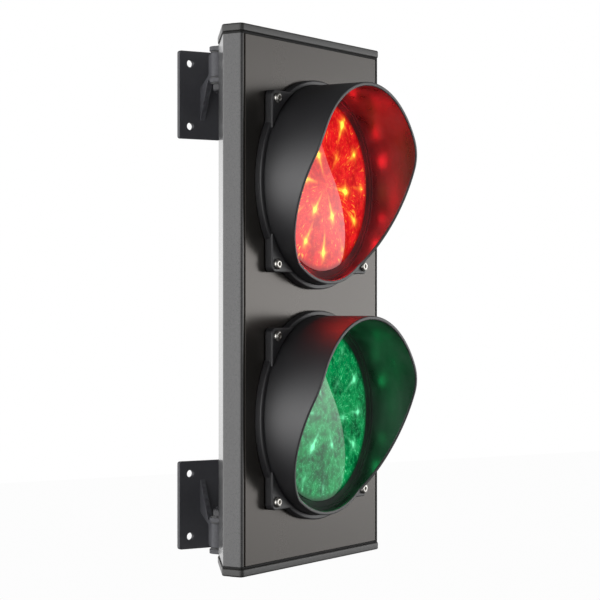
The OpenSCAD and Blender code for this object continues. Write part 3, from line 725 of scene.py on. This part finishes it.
def build_lens(colour):
    """A shallow dome with a lip that the shoulder holds."""
    rise, rim, steps, smallest = 3.4, 7.5, 24, 0.05
    dome_r = (LENS_R ** 2 + rise ** 2) / (2 * rise)
    dome = []
    for k in range(steps + 1):
        r = LENS_R * (steps - k) / steps
        dome.append((max(r, smallest), rim + math.sqrt(dome_r ** 2 - r ** 2) - (dome_r - rise)))
    place = lamp_place(colour)
    shape = turned([(LENS_R - 3, 2.2), (70, 2.2), (70, 4.5), (LENS_R, 4.5)] + dome, 128)
    piece(f"{colour}_lens_dome", [(shape, place)], f"{colour}_lens", uv_place=place)


def build_bezel_screws(colour):
    """Pan-head screws with a hexagon socket and a little thread under each head."""
    place = lamp_place(colour)
    head = turned([(2.0, -4), (2.0, 0.0), (3.9, 0.0), (4.0, 0.3), (4.0, 0.9), (3.75, 1.7), (3.1, 2.3),
                   (2.2, 2.55), (1.75, 2.55), (1.6, 2.4, hexagon), (1.5, 0.8, hexagon), (0.2, 0.6)], 48)
    spots = [(sx * SCREW_OFF, sy * SCREW_OFF) for sx in (-1, 1) for sy in (-1, 1)]
    parts = [(head, place @ at(x, y, LUG_T)) for x, y in spots]
    piece(f"{colour}_bezel_screw_heads", parts, f"{colour}_bezel_screws")


# ---- Brackets ----

def build_wall_bracket(end):
    """Wall plate with four holes, slanted arm, and the barrel that the pivot bolt goes through."""
    place = mirrored(end) @ WALL_FRAME
    w, h, t = PLATE_W / 2, PLATE_H / 2, PLATE_T
    outline = rounded([(w, h, 2), (-w, h, 2), (-w, -h, 2), (w, -h, 2)])
    spots = [(sx * WALL_HOLE_DX / 2, sy * WALL_HOLE_DZ / 2) for sx in (-1, 1) for sy in (-1, 1)]
    holes = [circle(WALL_HOLE_R, x, y) for x, y in spots]
    base = plate(outline, holes, 0.0, t, 0.5)
    pivot_x, pivot_out = PIVOT.x / MM, -PIVOT.y / MM
    arm = plate(rounded([(t - 1, 141, 0), (t - 1, 169, 0), (17.5, 178.5, 3), (17.5, BARREL_Z[1], 2),
                         (pivot_out - 6, BARREL_Z[1], 0), (pivot_out - 6, BARREL_Z[0], 0),
                         (pivot_out - 9.5, BARREL_Z[0], 0), (16.5, 174, 2)]), [], -ARM_T / 2, ARM_T / 2, 0.4)
    low, high = BARREL_Z
    barrel = turned([(3.05, low + 0.3), (3.4, low), (6.6, low), (BARREL_R, low + 0.4),
                     (BARREL_R, high - 0.4), (6.6, high), (3.4, high), (3.05, high - 0.3)], 64, closed=True)
    sideways = Matrix.Rotation(math.radians(90), 4, "X") @ Matrix.Rotation(math.radians(-90), 4, "Y")
    parts = [(base, place @ at(0, 0, PLATE_UP) @ FRONT), (arm, place @ at(pivot_x, 0, 0) @ sideways),
             (barrel, place @ at(pivot_x, -pivot_out, 0))]
    piece(f"{end}_wall_bracket_plate", parts, f"{end}_wall_bracket", "wall_mount")


def build_head_bracket(end):
    """Clevis on the housing's back: a plate with two ears that hold the barrel between them."""
    place = mirrored(end) @ HEAD
    outer_ear, inner_ear = BARREL_Z[1] + EAR_GAP, BARREL_Z[0] - EAR_GAP - EAR_T
    half_w, low, high, pivot_y = 27, 150, outer_ear + EAR_T, HOUSING_D + PIVOT_TO_REAR
    outline = rounded([(half_w, low, 3), (half_w, high, 3), (-half_w, high, 3), (-half_w, low, 3)])
    holes = [circle(2.75, x, z) for x, z in CLEVIS_SCREWS]
    back = plate(outline, holes, -HOUSING_D - CLEVIS_T, -HOUSING_D, 0.5)
    turns = [math.radians(a) for a in range(0, 181, 10)]
    tip = [(EAR_R * math.cos(a), pivot_y + EAR_R * math.sin(a)) for a in turns]
    ear = [(-EAR_R, HOUSING_D + 0.5), (EAR_R, HOUSING_D + 0.5)] + tip
    parts = [(back, place @ FRONT)]
    for z, bore in ((outer_ear, 5.9), (inner_ear, 3.1)):
        parts.append((plate(ear, [circle(bore, 0, pivot_y)], z, z + EAR_T, 0.4), place))
    piece(f"{end}_head_bracket_clevis", parts, f"{end}_head_bracket")


def build_bracket_screws(end):
    """Hexagon-head screws that hold the clevis to the housing."""
    head = turned([(2.5, -3), (2.5, 0.05), (4.3, 0.05), (4.6, 0.3, hexagon), (4.6, 3.0, hexagon), (4.1, 3.5),
                   (2.4, 3.5), (0.2, 3.2)], 48)
    parts = [(head, mirrored(end) @ HEAD @ at(x, HOUSING_D + CLEVIS_T, z) @ BACK) for x, z in CLEVIS_SCREWS]
    piece(f"{end}_bracket_screw_heads", parts, f"{end}_bracket_screws")


def build_pivot(end):
    """Countersunk bolt with a hexagon socket, its nut and the thread that shows past the nut."""
    place = mirrored(end) @ SWIVEL
    nut_h, nut_washer_t, thread_out = 6.0, 1.0, 1.5
    base = BARREL_Z[0] - EAR_GAP - EAR_T - nut_washer_t
    top, low = BARREL_Z[1] + EAR_GAP + EAR_T, base - nut_h - thread_out
    pitch = 0.8
    thread = []
    for k in range(10):
        thread += [(2.7, low + 0.2 + k * pitch), (BOLT_R, low + 0.6 + k * pitch)]
    bolt = turned([(0.2, low - 0.01), (2.3, low)] + thread
                  + [(BOLT_R, top - 3), (5.6, top - 0.4), (5.6, top - 0.1), (BOLT_R, top - 0.1),
                     (2.3, top - 0.2, hexagon), (2.3, top - 2, hexagon), (0.2, top - 2.2)], 48)
    piece(f"{end}_pivot_bolt_shank", [(bolt, place)], f"{end}_pivot_bolt")
    nut = turned([(3.05, base - 0.3), (3.4, base), (5.2, base), (5.7, base - 0.4, hexagon),
                  (5.7, base - 4.2, hexagon), (5.1, base - 4.6), (4.6, base - 5.6), (3.9, base - nut_h),
                  (3.05, base - nut_h)], 48, closed=True)
    piece(f"{end}_pivot_nut_body", [(nut, place)], f"{end}_pivot_nut")


# ---- Cable gland and earth screw on the back ----

def ribbed(angle):
    """Grip ribs round the gland's nut."""
    return 1 + 0.025 * math.cos(24 * angle)


def build_gland():
    """The gland's hexagon body and its ribbed clamping nut."""
    place = HEAD @ at(0, HOUSING_D, GLAND_UP) @ BACK
    body = turned([(5.5, -9), (8, -9), (8, 0.0), (11.8, 0.0), (12.5, 0.5, hexagon), (12.5, 5.5, hexagon),
                   (11.6, 6.0), (8, 6.2), (8, 13), (6, 13), (6, 3), (5.5, 3)], 96, closed=True)
    nut = turned([(8.05, 6.3), (11.4, 6.3), (11.6, 6.8, ribbed), (11.6, 14.6, ribbed), (10.6, 15.4),
                  (9.4, 16.2), (9.0, 18.6), (8.2, 19.3), (5.6, 19.3), (5.0, 18.6), (5.0, 14.3), (8.05, 14.3)],
                 192, closed=True)
    piece("gland_body_hexagon", [(body, place)], "gland_body")
    piece("gland_nut_dome", [(nut, place)], "gland_nut")


def build_all():
    """Every shown piece."""
    build_housing()
    build_panel()
    build_gland()
    for name, end in (("top", "upper"), ("bottom", "lower")):
        build_gasket(name, end)
        build_cap(name, end)
    for colour in COLOURS:
        build_bezel(colour)
        build_visor(colour)
        build_lens(colour)
        build_bezel_screws(colour)
    for end in ENDS:
        build_wall_bracket(end)
        build_head_bracket(end)
        build_bracket_screws(end)
        build_pivot(end)


# ---- Studio ----

FLOOR_Z = -0.75
CAMERA_FROM_PIVOT = Vector((-0.7538, -1.3256, 0.0))
CAMERA_AIM = Vector((0.530, 0.848, 0.0))
CAMERA_LENS = 116

# Rings of small lights over each lens: radius in millimetres, count, and share of the lamp's power
LIGHT_RINGS = ((45, 18, 0.35), (61, 24, 0.5))
LIGHT_HEIGHT = 13.0
LIGHT_SIZE = 0.003
# Tint and power in watts of each lamp's small lights
LAMP_LIGHT = {"red": ((1.0, 0.01, 0.02), 0.022), "green": ((0.02, 1.0, 0.25), 0.0028)}


def add_led_light(name, place, tint, power, lit):
    """One small light at a place, which shines only on what is in the lit collection."""
    data = bpy.data.lights.new(name, "POINT")
    data.shadow_soft_size = LIGHT_SIZE
    data.energy = power
    data.color = tint
    light = bpy.data.objects.new(data.name, data)
    bpy.context.scene.collection.objects.link(light)
    light.location = place
    light.visible_camera = False
    light.light_linking.receiver_collection = lit
    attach(light, "head")


def add_lamp_lights(colour, lit):
    """Lights of uneven power over the LEDs, which throw the lamp's colour on the insides of the visors."""
    tint, power = LAMP_LIGHT[colour]
    for ring_mm, count, share in LIGHT_RINGS:
        for k in range(count):
            angle = 2 * math.pi * k / count
            uneven = (0.5 + 0.5 * math.sin(2.4 * k + ring_mm)) ** 2
            spot = Vector((ring_mm * math.cos(angle), ring_mm * math.sin(angle), LIGHT_HEIGHT))
            name = f"{colour}_led_{ring_mm}_{k}"
            add_led_light(name, lamp_place(colour) @ spot, tint, power * share * uneven, lit)


# Parts of the light round the object: how high each reaches, as the sine of its angle, and how strong it is
BAND_HEIGHT, BAND_STRENGTH = 0.36, 0.95
LEFT_HEIGHT, RIGHT_HEIGHT, SIDE_STRENGTH = 0.5, 0.09, 1.7
LEAST_STRENGTH = 0.03


def build_world():
    """White to the camera. As light, it is a band round the horizon, brighter on both sides than in front."""
    world = bpy.data.worlds.new("studio")
    bpy.context.scene.world = world
    world.use_nodes = True
    tree = world.node_tree
    tree.nodes.clear()
    way = put(tree, "ShaderNodeTexCoord").outputs["Generated"]
    aim = put(tree, "ShaderNodeSeparateXYZ", {0: way})
    height = Wave(tree, aim.outputs[2]).do("ABSOLUTE")
    sideways = Wave(tree, aim.outputs[0])
    front = Wave(tree, aim.outputs[1]).ramp(-0.2, -0.9)
    left, right = sideways.ramp(-0.3, -0.9), sideways.ramp(0.3, 0.9)
    band = height.bump(BAND_HEIGHT) * (right * 0.25 + BAND_STRENGTH - front * 0.6)
    beside_left = height.bump(LEFT_HEIGHT) * left * SIDE_STRENGTH
    beside_right = height.bump(RIGHT_HEIGHT) * right * SIDE_STRENGTH
    light = band + (beside_left + beside_right) + LEAST_STRENGTH
    soft = put(tree, "ShaderNodeBackground", {"Color": (1, 1, 1, 1), "Strength": light.socket})
    plain = put(tree, "ShaderNodeBackground", {"Color": (1, 1, 1, 1), "Strength": 1.0})
    seen = put(tree, "ShaderNodeLightPath").outputs["Is Camera Ray"]
    mixed = put(tree, "ShaderNodeMixShader", {0: seen, 1: soft.outputs[0], 2: plain.outputs[0]})
    put(tree, "ShaderNodeOutputWorld", {"Surface": mixed.outputs[0]})


def build_floor():
    """A pale floor below the object, which its gloss does not reflect."""
    half = 6
    corners = [(-half, -half, 0), (half, -half, 0), (half, half, 0), (-half, half, 0)]
    mesh = new_mesh(corners, [(0, 1, 2, 3)])
    material, tree, shader = new_material("pale_floor")
    shader.inputs["Base Color"].default_value = (0.5, 0.5, 0.5, 1)
    shader.inputs["Roughness"].default_value = 0.8
    pale = put(tree, "ShaderNodeEmission", {"Color": (0.98, 0.98, 0.98, 1)})
    seen = put(tree, "ShaderNodeLightPath").outputs["Is Camera Ray"]
    mixed = put(tree, "ShaderNodeMixShader", {0: seen, 1: shader.outputs[0], 2: pale.outputs[0]})
    tree.links.new(mixed.outputs[0], tree.nodes["Material Output"].inputs["Surface"])
    mesh.materials.append(material)
    floor = bpy.data.objects.new("floor", mesh)
    floor.location.z = FLOOR_Z
    floor.visible_glossy = False
    bpy.context.scene.collection.objects.link(floor)


def build_studio():
    """Surroundings, floor, and the lamps' own light."""
    build_world()
    build_floor()
    lit = bpy.data.collections.new("lit_by_leds")
    for colour in COLOURS:
        lit.objects.link(bpy.data.objects[f"{colour}_visor_hood"])
    for colour in COLOURS:
        add_lamp_lights(colour, lit)


def build_camera():
    """Level with the object's middle, far to its left, with a long lens."""
    data = bpy.data.cameras.new("camera")
    data.sensor_width = 36
    data.lens = CAMERA_LENS
    camera = bpy.data.objects.new("camera", data)
    camera.location = PIVOT + CAMERA_FROM_PIVOT
    camera.rotation_euler = CAMERA_AIM.to_track_quat("-Z", "Y").to_euler()
    bpy.context.scene.collection.objects.link(camera)
    bpy.context.scene.camera = camera


bpy.context.scene.view_settings.view_transform = "Standard"
build_camera()
paint_cad_nodes()
build_all()
build_studio()
